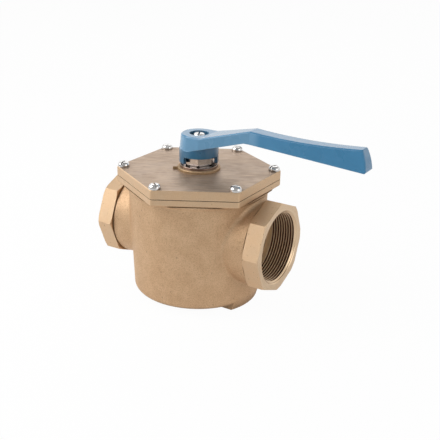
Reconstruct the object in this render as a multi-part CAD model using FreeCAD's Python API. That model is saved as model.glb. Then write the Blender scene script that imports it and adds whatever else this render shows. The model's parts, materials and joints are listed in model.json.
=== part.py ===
"""Two-port quarter-turn ball valve with a bolted hexagonal cover, for G 2 pipe ends.

Origin: centre of the underside of the foot, under the stem. +Z up, +X along the outlet port. Millimetres.
"""

import FreeCAD, Part
import math
import os

from FreeCAD import Vector

# ---- Pipe thread, G 2 parallel ----
THREAD_MAJOR_D = 59.614
THREAD_PITCH = 2.309
THREAD_DEPTH = 1.479
THREAD_LENGTH = 22.0
THREAD_FLANK = 27.5
THREAD_CREST = 0.45
THREAD_OVERCUT = 0.2
MOUTH_CHAMFER = 2.3

# ---- Ports ----
PORT_SPAN = 157.2
PORT_HEIGHT = 56.5
PORT_FLATS = 70.2
PORT_SIDES = 8
PORT_END_LENGTH = 14.2
PORT_EDGE_CHAMFER = 1.6
PORT_EDGE_ANGLE = 30.0
NECK_D = 69.0
NECK_FILLET = 4.0
NECK_RELIEF_DEPTH = 0.7
NECK_RELIEF_WIDTH = 0.9

# ---- Pot ----
POT_TOP_D = 116.6
POT_BOTTOM_D = 108.6
POT_CORNER_R = 5.0
POT_FLARE_R = 4.0
POT_FLARE_SINK = 0.3
CAVITY_D = 98.0
CAVITY_CORNER_R = 6.0
FLOOR_THICKNESS = 6.0
COLLAR_D = 66.0

# ---- Foot ----
FOOT_HEIGHT = 4.5
FOOT_WIDTH = 42.0
FOOT_END_D = 103.8
FOOT_EDGE_R = 0.8

# ---- Flange, gasket and cover ----
HEX_SIDES = 6
HEX_FIRST_ANGLE = 30.0
HEX_CORNERS_D = 136.0
HEX_CORNER_R = 2.0
FLANGE_BOTTOM_Z = 95.6
FLANGE_THICKNESS = 5.6
FLANGE_EDGE_R = 1.6
GASKET_THICKNESS = 0.5
GASKET_INSET = 0.6
COVER_THICKNESS = 7.3
COVER_EDGE_CHAMFER = 0.5
SPIGOT_DEPTH = 3.0
SPIGOT_CLEARANCE = 0.1
COVER_BOSS_D = 35.6
COVER_BOSS_HEIGHT = 2.3
COVER_BOSS_CHAMFER = 0.5
GLAND_RING_D = 31.6
GLAND_RING_HEIGHT = 2.1
GLAND_RING_CHAMFER = 0.4
INNER_BOSS_D = 28.0
INNER_BOSS_DEPTH = 4.0
EAR_ANGLE = 222.0
EAR_WIDTH = 9.0
EAR_REACH = 21.6

# ---- Cover screws ----
SCREW_CIRCLE_D = 124.4
SCREW_D = 5.0
SCREW_LENGTH = 12.0
SCREW_HEAD_D = 9.5
SCREW_HEAD_HEIGHT = 3.9
SCREW_HEAD_EDGE_R = 2.8
SCREW_SLOT_WIDTH = 1.3
SCREW_SLOT_DEPTH = 1.9
SCREW_POINT_CHAMFER = 0.5
SCREW_HOLE_CLEARANCE = 0.25
SLOT_ANGLES = (68.0, 15.0, 130.0, 100.0, 140.0, 48.0)

# ---- Ball and seats ----
BALL_D = 76.0
WATERWAY_D = 48.0
SEAT_CLEARANCE = 0.1
CARRIER_D = 55.6
CARRIER_BALL_GAP = 1.56
CARRIER_OUTER_X = 51.4
CARRIER_EDGE_CHAMFER = 0.8
CARRIER_SINK = 0.5
NOTCH_COUNT = 4
NOTCH_WIDTH = 5.0
NOTCH_DEPTH = 2.5
NOTCH_FIRST_ANGLE = 45.0
SEAT_D = 53.6
SEAT_POCKET_DEPTH = 4.5
SEAT_STAND_OUT = 2.3
SEAT_BORE_D = 48.6
CARRIER_RING_X = 44.0
CARRIER_RING_CORD = 1.3
COLLAR_FACE_X = 38.5

# ---- Stem ----
STEM_D = 14.0
STEM_COLLAR_D = 21.0
STEM_COLLAR_HEIGHT = 2.1
TANG_THICKNESS = 10.0
TANG_WIDTH = 20.0
TANG_LENGTH = 9.8
BALL_TOP_GAP = 0.1
STEM_RING_CORD = 1.4
STEM_SQUARE = 9.5
STEM_SHOULDER_LIFT = 1.0
STEM_TOP_GAP = 0.3
THRUST_WASHER_THICKNESS = 0.95
RUN_CLEARANCE = 0.05

# ---- Packing gland ----
CHAMBER_D = 20.0
PACKING_COUNT = 3
PACKING_THICKNESS = 1.8
FOLLOWER_THICKNESS = 2.0
GLAND_NUT_FLATS = 21.0
GLAND_NUT_LIFT = 0.2
GLAND_NUT_HEIGHT = 8.4
GLAND_NUT_CHAMFER = 1.0
GLAND_NUT_BORE_CLEARANCE = 0.2

# ---- Lever ----
# Plan sizes are given low, at HUB_STEP_Z, and high, at PLAN_HIGH_Z, so the sides have draft.
PLAN_HIGH_Z = 151.0
HUB_D_LOW = 31.8
HUB_D_HIGH = 27.4
SHOULDER_X = 9.0
SHOULDER_WIDTH_LOW = 32.4
SHOULDER_WIDTH_HIGH = 27.4
BEND_WIDTH_LOW = 15.2
BEND_WIDTH_HIGH = 13.3
END_WIDTH_LOW = 16.5
END_WIDTH_HIGH = 9.8
HUB_TOP_Z = 139.0
HUB_STEP_Z = 126.7
SKIRT_D = 32.4
SKIRT_BORE_D = 27.2
SKIRT_FRONT_Z = 121.2
LEG_BOTTOM_Z = 115.4
WEB_BOTTOM_Z = 126.0
RECESS_D = 16.0
RECESS_DEPTH = 5.0
SQUARE_CLEARANCE = 0.05
WINDOW_START = 253.0
WINDOW_SPAN = 117.0
WINDOW_COUNT = 2
LEVER_TRAVEL = 90.0
STOP_GAP = 1.0
STOP_HEIGHT = 5.0
STOP_WALL = 2.3
ARM_UNDER_START_X = -1.0
BEND_TOP_X = 50.5
BEND_TOP_Z = 149.6
BEND_UNDER_X = 46.1
BEND_UNDER_Z = 139.5
GRIP_SAG_X = 97.0
GRIP_SAG_Z = 147.9
GRIP_END_TOP_X = 142.8
GRIP_END_TOP_Z = 150.4
GRIP_END_CROWN_X = 146.0
GRIP_END_CROWN_Z = 142.2
GRIP_END_UNDER_X = 147.3
GRIP_END_UNDER_Z = 133.4
LEVER_EDGE_CHAMFER = 0.9
END_EDGE_R = 1.2

# ---- Lever fastening ----
LEVER_SCREW_LENGTH = 12.0
LEVER_SCREW_HEAD_D = 9.6
LEVER_SCREW_HEAD_HEIGHT = 2.8
LEVER_SCREW_HEAD_EDGE_R = 1.9
LEVER_SCREW_SLOT_ANGLE = 118.0
LEVER_WASHER_D = 12.4
LEVER_WASHER_THICKNESS = 1.0
SPRING_WASHER_D = 9.2
SPRING_WASHER_THICKNESS = 1.2
SPRING_WASHER_SPLIT = 0.8
SPRING_WASHER_SPLIT_ANGLE = 20.0

# ---- For telling edges apart ----
EDGE_TOLERANCE = 1e-3

# ---- Derived places ----
JOINT_Z = FLANGE_BOTTOM_Z + FLANGE_THICKNESS
COVER_Z = JOINT_Z + GASKET_THICKNESS
COVER_TOP_Z = COVER_Z + COVER_THICKNESS
RING_TOP_Z = COVER_TOP_Z + COVER_BOSS_HEIGHT + GLAND_RING_HEIGHT
INNER_BOSS_Z = COVER_Z - INNER_BOSS_DEPTH
BALL_TOP_Z = PORT_HEIGHT + BALL_D / 2
TANG_BOTTOM_Z = BALL_TOP_Z + BALL_TOP_GAP - TANG_LENGTH
COLLAR_TOP_Z = INNER_BOSS_Z - THRUST_WASHER_THICKNESS - RUN_CLEARANCE
TANG_TOP_Z = COLLAR_TOP_Z - STEM_COLLAR_HEIGHT
CARRIER_INNER_X = math.sqrt((BALL_D / 2) ** 2 - (SEAT_D / 2) ** 2) + CARRIER_BALL_GAP
SQUARE_Z = RING_TOP_Z + GLAND_NUT_LIFT + GLAND_NUT_HEIGHT + STEM_SHOULDER_LIFT
RECESS_Z = HUB_TOP_Z - RECESS_DEPTH
STEM_TOP_Z = RECESS_Z - STEM_TOP_GAP
PORT_X = PORT_SPAN / 2
THREAD_MINOR_D = THREAD_MAJOR_D - 2 * THREAD_DEPTH
SCREW_BORE_R = SCREW_D / 2 + RUN_CLEARANCE
BACK_WINDOW_START = WINDOW_START - 180.0
AXIS_X = Vector(1, 0, 0)
AXIS_Z = Vector(0, 0, 1)
CENTRE = Vector(0, 0, 0)


# ---- Shape helpers ----
def rod(radius, z0, z1):
    return Part.makeCylinder(radius, z1 - z0, Vector(0, 0, z0), AXIS_Z)


def ring(outer_r, inner_r, z0, z1):
    return rod(outer_r, z0, z1).cut(rod(inner_r, z0 - 1, z1 + 1))


def rod_x(radius, x0, x1):
    return Part.makeCylinder(radius, x1 - x0, Vector(x0, 0, PORT_HEIGHT), AXIS_X)


def polygon_prism(sides, corner_r, first_angle, z0, z1):
    step = 360.0 / sides
    angles = [math.radians(first_angle + step * i) for i in range(sides)]
    points = [Vector(corner_r * math.cos(a), corner_r * math.sin(a), z0) for a in angles]
    face = Part.Face(Part.makePolygon(points + points[:1]))
    return face.extrude(Vector(0, 0, z1 - z0))


def wire_of(points):
    """Closed wire through points. A pair of vectors is an arc: through the first, to the second."""
    edges = []
    here = points[0]
    for item in points[1:]:
        if isinstance(item, tuple):
            edges.append(Part.Arc(here, item[0], item[1]).toShape())
            here = item[1]
        else:
            edges.append(Part.makeLine(here, item))
            here = item
    if here.distanceToPoint(points[0]) > 1e-6:
        edges.append(Part.makeLine(here, points[0]))
    return Part.Wire(edges)


def revolve_z(points):
    return Part.Face(wire_of(points)).revolve(CENTRE, AXIS_Z, 360)


def revolve_x(points):
    """Turn (x, r) points about the port axis."""
    corners = [Vector(x, 0, PORT_HEIGHT + r) for x, r in points]
    face = Part.Face(Part.makePolygon(corners + corners[:1]))
    return face.revolve(Vector(0, 0, PORT_HEIGHT), AXIS_X, 360)


def corner_arc(centre_x, centre_z, radius, start_deg, end_deg):
    """Middle and end point of an arc in the XZ plane."""
    middle = math.radians((start_deg + end_deg) / 2)
    end = math.radians(end_deg)
    return (
        Vector(centre_x + radius * math.cos(middle), 0, centre_z + radius * math.sin(middle)),
        Vector(centre_x + radius * math.cos(end), 0, centre_z + radius * math.sin(end)),
    )


def sector(radius, start_deg, end_deg, z0, z1):
    """Wedge about the stem axis between two angles."""
    wedge = Part.makeCylinder(radius, z1 - z0, Vector(0, 0, z0), AXIS_Z, end_deg - start_deg)
    wedge.rotate(CENTRE, AXIS_Z, start_deg)
    return wedge


def around(shape, count, first_angle):
    copies = []
    for i in range(count):
        copy = shape.copy()
        copy.rotate(CENTRE, AXIS_Z, first_angle + 360.0 * i / count)
        copies.append(copy)
    return copies


def fillet_where(shape, radius, chosen):
    return shape.makeFillet(radius, [e for e in shape.Edges if chosen(e)])


def chamfer_where(shape, size, chosen):
    return shape.makeChamfer(size, [e for e in shape.Edges if chosen(e)])


def flat_at(edge, z):
    box = edge.BoundBox
    return abs(box.ZMin - z) < EDGE_TOLERANCE and abs(box.ZMax - z) < EDGE_TOLERANCE


def upright(edge):
    box = edge.BoundBox
    return box.ZLength > EDGE_TOLERANCE and max(box.XLength, box.YLength) < EDGE_TOLERANCE


def inlet_copy(shape):
    """The same piece half a turn round, at the inlet end. A mirror would make the thread left-handed."""
    copy = shape.copy()
    copy.rotate(CENTRE, AXIS_Z, 180)
    return copy


def hex_plate(z0, z1, inset=0.0):
    corner_r = HEX_CORNERS_D / 2 - inset / math.cos(math.pi / HEX_SIDES)
    plate = polygon_prism(HEX_SIDES, corner_r, HEX_FIRST_ANGLE, z0, z1)
    return fillet_where(plate, HEX_CORNER_R, upright)


def screw_places():
    places = around(Part.Vertex(SCREW_CIRCLE_D / 2, 0, 0), HEX_SIDES, HEX_FIRST_ANGLE)
    return [p.Point for p in places]


def screw_holes(radius, z0, z1):
    return [Part.makeCylinder(radius, z1 - z0, Vector(p.x, p.y, z0), AXIS_Z) for p in screw_places()]


def pan_screw(length, head_d, head_height, head_edge_r, slot_angle, seat_z):
    """Slotted pan-head screw on the Z axis, its head's underside at seat_z."""
    head = rod(head_d / 2, seat_z, seat_z + head_height)
    head = fillet_where(head, head_edge_r, lambda e: flat_at(e, seat_z + head_height))
    slot = Part.makeBox(head_d + 2, SCREW_SLOT_WIDTH, SCREW_SLOT_DEPTH + 1)
    slot.translate(Vector(-head_d / 2 - 1, -SCREW_SLOT_WIDTH / 2, seat_z + head_height - SCREW_SLOT_DEPTH))
    slot.rotate(CENTRE, AXIS_Z, slot_angle)
    shank = rod(SCREW_D / 2, seat_z - length, seat_z)
    shank = chamfer_where(shank, SCREW_POINT_CHAMFER, lambda e: flat_at(e, seat_z - length))
    return head.cut(slot).fuse(shank).removeSplitter()


# ---- Body ----
def drafted_pot():
    """Pot with drafted sides and a rounded bottom corner."""
    bottom_r = POT_BOTTOM_D / 2
    return revolve_z([
        Vector(0, 0, FOOT_HEIGHT),
        Vector(bottom_r - POT_CORNER_R, 0, FOOT_HEIGHT),
        corner_arc(bottom_r - POT_CORNER_R, FOOT_HEIGHT + POT_CORNER_R, POT_CORNER_R, -90, 0),
        Vector(POT_TOP_D / 2, 0, JOINT_Z),
        Vector(0, 0, JOINT_Z),
    ])


def foot_bar():
    """Bar across the pot's underside, its ends leaning out to meet the pot's side."""
    top_z = FOOT_HEIGHT + POT_CORNER_R
    cone = Part.makeCone(FOOT_END_D / 2, POT_BOTTOM_D / 2, top_z)
    cone = fillet_where(cone, FOOT_EDGE_R, lambda e: flat_at(e, 0))
    bar = Part.makeBox(POT_TOP_D, FOOT_WIDTH, top_z)
    bar.translate(Vector(-POT_TOP_D / 2, -FOOT_WIDTH / 2, 0))
    return cone.common(bar)


def pot_flare():
    """Hollow blend from the pot's side into the underside of the flange, trimmed to the flange's flats."""
    top_r = POT_TOP_D / 2 - POT_FLARE_SINK
    flare_z = FLANGE_BOTTOM_Z - POT_FLARE_R
    flare = revolve_z([
        Vector(0, 0, flare_z),
        Vector(top_r, 0, flare_z),
        corner_arc(top_r + POT_FLARE_R, flare_z, POT_FLARE_R, 180, 90),
        Vector(0, 0, FLANGE_BOTTOM_Z),
    ])
    return flare.common(hex_plate(0, JOINT_Z))


def port_end():
    """Octagonal spanner end with both edges chamfered."""
    corner_r = PORT_FLATS / 2 / math.cos(math.pi / PORT_SIDES)
    inner_x = PORT_X - PORT_END_LENGTH
    block = polygon_prism(PORT_SIDES, corner_r, 0, inner_x, PORT_X)
    block.rotate(CENTRE, Vector(0, 1, 0), 90)
    block.translate(Vector(0, 0, PORT_HEIGHT))
    drop = PORT_EDGE_CHAMFER * math.tan(math.radians(PORT_EDGE_ANGLE))
    turned = revolve_x([
        (inner_x, 0),
        (inner_x, corner_r - PORT_EDGE_CHAMFER),
        (inner_x + drop, corner_r),
        (PORT_X - drop, corner_r),
        (PORT_X, corner_r - PORT_EDGE_CHAMFER),
        (PORT_X, 0),
    ])
    return block.common(turned)


def thread_groove():
    """Right-hand helical groove of the pipe thread, from its inner end out past the port's face."""
    minor_r = THREAD_MINOR_D / 2
    inner_r = minor_r - THREAD_OVERCUT
    flank = math.tan(math.radians(THREAD_FLANK))
    half_open = (THREAD_PITCH - THREAD_CREST) / 2 + THREAD_OVERCUT * flank
    half_root = half_open - (THREAD_DEPTH + THREAD_OVERCUT) * flank
    corners = [
        Vector(inner_r, 0, -half_open),
        Vector(THREAD_MAJOR_D / 2, 0, -half_root),
        Vector(THREAD_MAJOR_D / 2, 0, half_root),
        Vector(inner_r, 0, half_open),
    ]
    profile = Part.makePolygon(corners + corners[:1])
    helix = Part.makeHelix(THREAD_PITCH, THREAD_LENGTH + THREAD_PITCH, minor_r)
    groove = Part.Wire(helix.Edges).makePipeShell([profile], True, True)
    groove.rotate(CENTRE, Vector(0, 1, 0), 90)
    groove.translate(Vector(PORT_X - THREAD_LENGTH, 0, PORT_HEIGHT))
    return groove


def port_cuts():
    """Thread bore, its mouth chamfer and groove, and the plain bore behind it for the seat carrier."""
    minor_r = THREAD_MINOR_D / 2
    bore_x = CARRIER_OUTER_X + CARRIER_SINK
    mouth = revolve_x([
        (PORT_X - MOUTH_CHAMFER, 0),
        (PORT_X - MOUTH_CHAMFER, minor_r),
        (PORT_X + 1, minor_r + MOUTH_CHAMFER + 1),
        (PORT_X + 1, 0),
    ])
    carrier_bore = rod_x(CARRIER_D / 2 + RUN_CLEARANCE, COLLAR_FACE_X - 1, bore_x)
    threaded = rod_x(minor_r, bore_x, PORT_X + 2 * THREAD_PITCH).fuse(thread_groove())
    return [threaded, mouth, carrier_bore]


def neck_relief():
    """Ring of air for the narrow turned groove behind the spanner end."""
    end_x = PORT_X - PORT_END_LENGTH
    outer_r = PORT_FLATS / 2
    return revolve_x([
        (end_x - NECK_RELIEF_WIDTH, NECK_D / 2 - NECK_RELIEF_DEPTH),
        (end_x, NECK_D / 2 - NECK_RELIEF_DEPTH),
        (end_x, outer_r),
        (end_x - NECK_RELIEF_WIDTH, outer_r),
    ])


def body_outside():
    pot = drafted_pot()
    neck = rod_x(NECK_D / 2, 0, PORT_X - PORT_END_LENGTH + 1)
    body = pot.fuse([neck, inlet_copy(neck)]).removeSplitter()
    join_r = POT_TOP_D / 2 + 1

    def neck_root(edge):
        box = edge.BoundBox
        inside = max(abs(box.XMin), abs(box.XMax)) < join_r
        return inside and box.YLength > NECK_D / 3 and box.ZLength > NECK_D / 3

    body = fillet_where(body, NECK_FILLET, neck_root)
    flange = hex_plate(FLANGE_BOTTOM_Z, JOINT_Z)
    flange = fillet_where(flange, FLANGE_EDGE_R, lambda e: flat_at(e, FLANGE_BOTTOM_Z))
    end = port_end()
    return body.fuse([foot_bar(), pot_flare(), flange, end, inlet_copy(end)]).removeSplitter()


def body_cavity():
    """Round room for the ball, with a collar left round each port's inner end."""
    cavity_r = CAVITY_D / 2
    floor_z = FOOT_HEIGHT + FLOOR_THICKNESS
    cavity = revolve_z([
        Vector(0, 0, floor_z),
        Vector(cavity_r - CAVITY_CORNER_R, 0, floor_z),
        corner_arc(cavity_r - CAVITY_CORNER_R, floor_z + CAVITY_CORNER_R, CAVITY_CORNER_R, -90, 0),
        Vector(cavity_r, 0, JOINT_Z + 1),
        Vector(0, 0, JOINT_Z + 1),
    ])
    collar = rod_x(COLLAR_D / 2, COLLAR_FACE_X, cavity_r)
    return cavity.cut([collar, inlet_copy(collar)])


def make_body():
    cuts = [body_cavity()] + screw_holes(SCREW_BORE_R, FLANGE_BOTTOM_Z - 1, JOINT_Z + 1)
    for cut in port_cuts() + [neck_relief()]:
        cuts += [cut, inlet_copy(cut)]
    body = body_outside()
    for cut in cuts:
        body = body.cut(cut)
    return body


# ---- Cover and its fastening ----
def pointer_ear():
    """Low pointed ear on the boss's edge."""
    corners = [Vector(0, -EAR_WIDTH / 2, 0), Vector(EAR_REACH, 0, 0), Vector(0, EAR_WIDTH / 2, 0)]
    ear = Part.Face(Part.makePolygon(corners + corners[:1])).extrude(Vector(0, 0, COVER_BOSS_HEIGHT))
    ear.rotate(CENTRE, AXIS_Z, EAR_ANGLE)
    ear.translate(Vector(0, 0, COVER_TOP_Z))
    return ear


def lever_stop():
    """Raised segment of the gland ring in the skirt's rear window, which stops the lever both ways."""
    outer_r = GLAND_RING_D / 2
    top_z = RING_TOP_Z + STOP_HEIGHT
    start = BACK_WINDOW_START + STOP_GAP
    end = BACK_WINDOW_START + WINDOW_SPAN - LEVER_TRAVEL - STOP_GAP
    stop = ring(outer_r - GLAND_RING_CHAMFER, outer_r - STOP_WALL, RING_TOP_Z, top_z)
    return stop.common(sector(GLAND_RING_D, start, end, RING_TOP_Z, top_z))


def make_cover():
    plate = hex_plate(COVER_Z, COVER_TOP_Z)
    plate = chamfer_where(plate, COVER_EDGE_CHAMFER, lambda e: flat_at(e, COVER_TOP_Z))
    spigot = rod(CAVITY_D / 2 - SPIGOT_CLEARANCE, COVER_Z - SPIGOT_DEPTH, COVER_Z)
    inner_boss = rod(INNER_BOSS_D / 2, INNER_BOSS_Z, COVER_Z)
    boss_top = COVER_TOP_Z + COVER_BOSS_HEIGHT
    boss = rod(COVER_BOSS_D / 2, COVER_TOP_Z, boss_top)
    boss = chamfer_where(boss, COVER_BOSS_CHAMFER, lambda e: flat_at(e, boss_top))
    gland_ring = rod(GLAND_RING_D / 2, boss_top, RING_TOP_Z)
    gland_ring = chamfer_where(gland_ring, GLAND_RING_CHAMFER, lambda e: flat_at(e, RING_TOP_Z))
    added = [spigot, inner_boss, boss, pointer_ear(), gland_ring, lever_stop()]
    cover = plate.fuse(added).removeSplitter()
    cuts = [
        rod(STEM_D / 2 + RUN_CLEARANCE, INNER_BOSS_Z - 1, COVER_Z + 1),
        rod(CHAMBER_D / 2, COVER_Z, RING_TOP_Z + 1),
    ]
    cuts += screw_holes(SCREW_D / 2 + SCREW_HOLE_CLEARANCE, COVER_Z - 1, COVER_TOP_Z + 1)
    return cover.cut(cuts)


def make_gasket():
    gasket = hex_plate(JOINT_Z, COVER_Z, GASKET_INSET)
    cuts = [rod(CAVITY_D / 2, JOINT_Z - 1, COVER_Z + 1)]
    cuts += screw_holes(SCREW_D / 2 + SCREW_HOLE_CLEARANCE, JOINT_Z - 1, COVER_Z + 1)
    return gasket.cut(cuts)


def make_cover_screws():
    screws = []
    for place, slot_angle in zip(screw_places(), SLOT_ANGLES):
        head = (SCREW_HEAD_D, SCREW_HEAD_HEIGHT, SCREW_HEAD_EDGE_R)
        screw = pan_screw(SCREW_LENGTH, *head, slot_angle, COVER_TOP_Z)
        screw.translate(Vector(place.x, place.y, 0))
        screws.append(screw)
    return Part.makeCompound(screws)


# ---- Ball and seats ----
def make_ball():
    ball = Part.makeSphere(BALL_D / 2, Vector(0, 0, PORT_HEIGHT))
    reach = BALL_D / 2 + 1
    ball = ball.cut(rod_x(WATERWAY_D / 2, -reach, reach))
    slot_x = TANG_THICKNESS + 2 * RUN_CLEARANCE
    slot_y = TANG_WIDTH + 4 * RUN_CLEARANCE
    slot_z = TANG_BOTTOM_Z - 2 * RUN_CLEARANCE
    slot = Part.makeBox(slot_x, slot_y, BALL_D, Vector(-slot_x / 2, -slot_y / 2, slot_z))
    return ball.cut(slot)


def make_seat_carrier():
    outer_r = CARRIER_D / 2
    carrier = revolve_x([
        (CARRIER_INNER_X, SEAT_D / 2 + RUN_CLEARANCE),
        (CARRIER_INNER_X, outer_r),
        (CARRIER_RING_X - CARRIER_RING_CORD, outer_r),
        (CARRIER_RING_X - CARRIER_RING_CORD, outer_r - CARRIER_RING_CORD),
        (CARRIER_RING_X + CARRIER_RING_CORD, outer_r - CARRIER_RING_CORD),
        (CARRIER_RING_X + CARRIER_RING_CORD, outer_r),
        (CARRIER_OUTER_X - CARRIER_EDGE_CHAMFER, outer_r),
        (CARRIER_OUTER_X, outer_r - CARRIER_EDGE_CHAMFER),
        (CARRIER_OUTER_X, WATERWAY_D / 2),
        (CARRIER_INNER_X + SEAT_POCKET_DEPTH, WATERWAY_D / 2),
        (CARRIER_INNER_X + SEAT_POCKET_DEPTH, SEAT_D / 2 + RUN_CLEARANCE),
    ])
    notches = []
    for i in range(NOTCH_COUNT):
        notch = Part.makeBox(NOTCH_DEPTH + 1, NOTCH_WIDTH, CARRIER_D)
        notch.translate(Vector(CARRIER_OUTER_X - NOTCH_DEPTH, -NOTCH_WIDTH / 2, PORT_HEIGHT))
        notch.rotate(Vector(0, 0, PORT_HEIGHT), AXIS_X, NOTCH_FIRST_ANGLE + 360.0 / NOTCH_COUNT * i)
        notches.append(notch)
    return carrier.cut(notches)


def make_seat_ring():
    blank = revolve_x([
        (CARRIER_INNER_X - SEAT_STAND_OUT, SEAT_BORE_D / 2),
        (CARRIER_INNER_X - SEAT_STAND_OUT, SEAT_D / 2),
        (CARRIER_INNER_X + SEAT_POCKET_DEPTH, SEAT_D / 2),
        (CARRIER_INNER_X + SEAT_POCKET_DEPTH, SEAT_BORE_D / 2),
    ])
    return blank.cut(Part.makeSphere(BALL_D / 2 + SEAT_CLEARANCE, Vector(0, 0, PORT_HEIGHT)))


def make_carrier_o_ring():
    cord_r = CARRIER_RING_CORD / 2 - RUN_CLEARANCE
    centre_r = CARRIER_D / 2 - CARRIER_RING_CORD / 2
    return Part.makeTorus(centre_r, cord_r, Vector(CARRIER_RING_X, 0, PORT_HEIGHT), AXIS_X)


# ---- Stem and gland ----
def make_stem():
    tang = Part.makeBox(TANG_THICKNESS, TANG_WIDTH, TANG_TOP_Z - TANG_BOTTOM_Z)
    tang.translate(Vector(-TANG_THICKNESS / 2, -TANG_WIDTH / 2, TANG_BOTTOM_Z))
    tang = tang.common(rod(STEM_COLLAR_D / 2, TANG_BOTTOM_Z, TANG_TOP_Z))
    collar = rod(STEM_COLLAR_D / 2, TANG_TOP_Z, COLLAR_TOP_Z)
    shaft = rod(STEM_D / 2, COLLAR_TOP_Z, SQUARE_Z)
    square = Part.makeBox(STEM_SQUARE, STEM_SQUARE, STEM_TOP_Z - SQUARE_Z)
    square.translate(Vector(-STEM_SQUARE / 2, -STEM_SQUARE / 2, SQUARE_Z))
    stem = tang.fuse([collar, shaft, square]).removeSplitter()
    groove_z = INNER_BOSS_Z + INNER_BOSS_DEPTH / 2 - STEM_RING_CORD / 2
    groove = ring(STEM_D, STEM_D / 2 - STEM_RING_CORD, groove_z, groove_z + STEM_RING_CORD)
    tapped = rod(SCREW_BORE_R, STEM_TOP_Z - LEVER_SCREW_LENGTH, STEM_TOP_Z + 1)
    return stem.cut([groove, tapped])


def make_stem_o_ring():
    cord_r = STEM_RING_CORD / 2 - RUN_CLEARANCE
    centre_r = STEM_D / 2 - STEM_RING_CORD / 2
    return Part.makeTorus(centre_r, cord_r, Vector(0, 0, INNER_BOSS_Z + INNER_BOSS_DEPTH / 2), AXIS_Z)


def make_thrust_washer():
    bottom = INNER_BOSS_Z - THRUST_WASHER_THICKNESS
    return ring(STEM_COLLAR_D / 2, STEM_D / 2 + RUN_CLEARANCE, bottom, INNER_BOSS_Z)


def chamber_ring(z, thickness):
    """Ring that fills the gland chamber round the stem."""
    return ring(CHAMBER_D / 2 - RUN_CLEARANCE, STEM_D / 2 + RUN_CLEARANCE, z, z + thickness)


def make_packing_ring(index):
    return chamber_ring(COVER_Z + PACKING_THICKNESS * index, PACKING_THICKNESS)


def make_gland_follower():
    return chamber_ring(COVER_Z + PACKING_THICKNESS * PACKING_COUNT, FOLLOWER_THICKNESS)


def make_gland_nut():
    corner_r = GLAND_NUT_FLATS / 2 / math.cos(math.pi / HEX_SIDES)
    bottom = RING_TOP_Z + GLAND_NUT_LIFT
    top = bottom + GLAND_NUT_HEIGHT
    head = polygon_prism(HEX_SIDES, corner_r, 0, bottom, top)
    turned = rod(corner_r, bottom, top)
    turned = chamfer_where(turned, GLAND_NUT_CHAMFER, lambda e: flat_at(e, top) or flat_at(e, bottom))
    head = head.common(turned)
    follower_top = COVER_Z + PACKING_THICKNESS * PACKING_COUNT + FOLLOWER_THICKNESS
    shank = rod(CHAMBER_D / 2 - RUN_CLEARANCE, follower_top, bottom)
    bore = rod(STEM_D / 2 + GLAND_NUT_BORE_CLEARANCE, COVER_Z, top + 1)
    return head.fuse(shank).removeSplitter().cut(bore)


# ---- Lever ----
def plan_wire(hub_d, shoulder_width, bend_width, end_width, z):
    """Plan of the lever: round hub, shoulders where the arm leaves it, straight sides to bend and end."""
    hub_r = hub_d / 2
    shoulder_y = shoulder_width / 2
    to_shoulder = math.hypot(SHOULDER_X, shoulder_y)
    touch = math.acos(hub_r / to_shoulder) + math.atan2(shoulder_y, SHOULDER_X)
    side = [
        (hub_r * math.cos(touch), hub_r * math.sin(touch)),
        (SHOULDER_X, shoulder_y),
        (BEND_TOP_X, bend_width / 2),
        (GRIP_END_UNDER_X + 1, end_width / 2),
    ]
    near = [Vector(x, -y, z) for x, y in side]
    far = [Vector(x, y, z) for x, y in reversed(side)]
    return wire_of(near + far + [(Vector(-hub_r, 0, z), near[0])])


def side_profile():
    """Side view of the hub, arm and grip, as a slab wide enough for the whole plan."""
    back_x = -HUB_D_LOW
    half = HUB_D_LOW
    outline = [
        Vector(back_x, -half, HUB_STEP_Z),
        Vector(ARM_UNDER_START_X, -half, HUB_STEP_Z),
        Vector(BEND_UNDER_X, -half, BEND_UNDER_Z),
        Vector(GRIP_END_UNDER_X, -half, GRIP_END_UNDER_Z),
        (Vector(GRIP_END_CROWN_X, -half, GRIP_END_CROWN_Z), Vector(GRIP_END_TOP_X, -half, GRIP_END_TOP_Z)),
        (Vector(GRIP_SAG_X, -half, GRIP_SAG_Z), Vector(BEND_TOP_X, -half, BEND_TOP_Z)),
        Vector(SHOULDER_X, -half, HUB_TOP_Z),
        Vector(back_x, -half, HUB_TOP_Z),
    ]
    return Part.Face(wire_of(outline)).extrude(Vector(0, 2 * half, 0))


def is_lever_top_edge(edge):
    """Long edges along the top of the hub, arm and grip, but not the creases across them."""
    box = edge.BoundBox
    middle = edge.valueAt((edge.FirstParameter + edge.LastParameter) / 2)
    crossing = box.XLength < EDGE_TOLERANCE
    slope = (BEND_TOP_Z - HUB_TOP_Z) / (BEND_TOP_X - SHOULDER_X)
    if middle.x <= BEND_TOP_X:
        top_z = HUB_TOP_Z + slope * max(0.0, middle.x - SHOULDER_X)
    else:
        top_z = min(BEND_TOP_Z, GRIP_SAG_Z)
    return not crossing and middle.z > top_z - LEVER_EDGE_CHAMFER


def is_lever_end_edge(edge):
    box = edge.BoundBox
    lean = abs(GRIP_END_UNDER_X - GRIP_END_TOP_X)
    at_end = box.XMax > GRIP_END_TOP_X - EDGE_TOLERANCE
    return at_end and box.XLength < lean + EDGE_TOLERANCE


def skirt_core():
    """Upper part of the skirt, which fills the gap under the arm's rising underside."""
    half = SKIRT_D / 2
    corners = [
        Vector(ARM_UNDER_START_X, -half, HUB_STEP_Z),
        Vector(BEND_UNDER_X, -half, HUB_STEP_Z),
        Vector(BEND_UNDER_X, -half, BEND_UNDER_Z),
    ]
    under_arm = Part.Face(wire_of(corners)).extrude(Vector(0, SKIRT_D, 0))
    return rod(half, HUB_STEP_Z, BEND_UNDER_Z).common(under_arm)


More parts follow.
